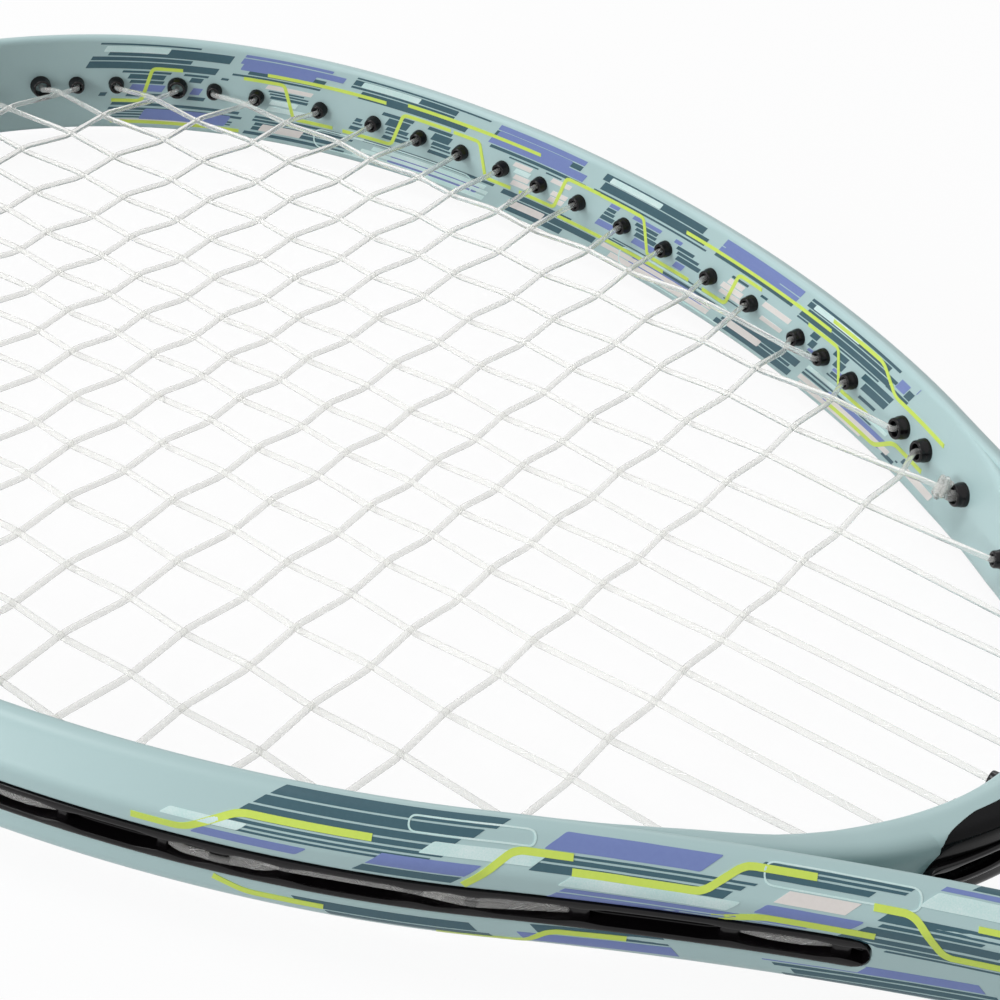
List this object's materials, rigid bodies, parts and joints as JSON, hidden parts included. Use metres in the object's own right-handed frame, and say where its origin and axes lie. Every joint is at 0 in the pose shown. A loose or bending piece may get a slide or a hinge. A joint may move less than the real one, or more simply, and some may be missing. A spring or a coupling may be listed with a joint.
{
  "type": "soft tennis racket",
  "caption": "Soft tennis racket with a pale aqua hairpin frame, bonded bridge, black grommet strips, woven strings tied off with knots, and a wrapped octagonal handle.",
  "frame": {"origin": "middle of the flat butt end face", "axes": "+Y from the butt to the tip, +X across the string bed, +Z out of the string bed's upper side"},
  "size_m": [0.2536, 0.6858, 0.0336],
  "materials": {
    "frame_paint": "satin",
    "grommet_nylon": "gloss",
    "string_gut": "satin",
    "handle_foam": "matte",
    "cap_nylon": "satin",
    "staple_steel": "brushed",
    "grip_leather": "matte",
    "tape_vinyl": "gloss",
    "collar_rubber": "matte"
  },
  "bodies": {
    "root": {"frame": "frame_paint", "bridge": "frame_paint", "bumper_guard": "grommet_nylon", "side_strip_right": "grommet_nylon", "side_strip_left": "grommet_nylon", "bridge_strip": "grommet_nylon", "main_string": "string_gut", "cross_string": "string_gut", "handle_half_top": "handle_foam", "handle_half_bottom": "handle_foam", "butt_cap": "cap_nylon", "butt_plug": "cap_nylon", "cap_staple_top": "staple_steel", "cap_staple_bottom": "staple_steel", "grip_wrap": "grip_leather", "finishing_tape": "tape_vinyl", "grip_collar": "collar_rubber"}
  },
  "joints": []
}
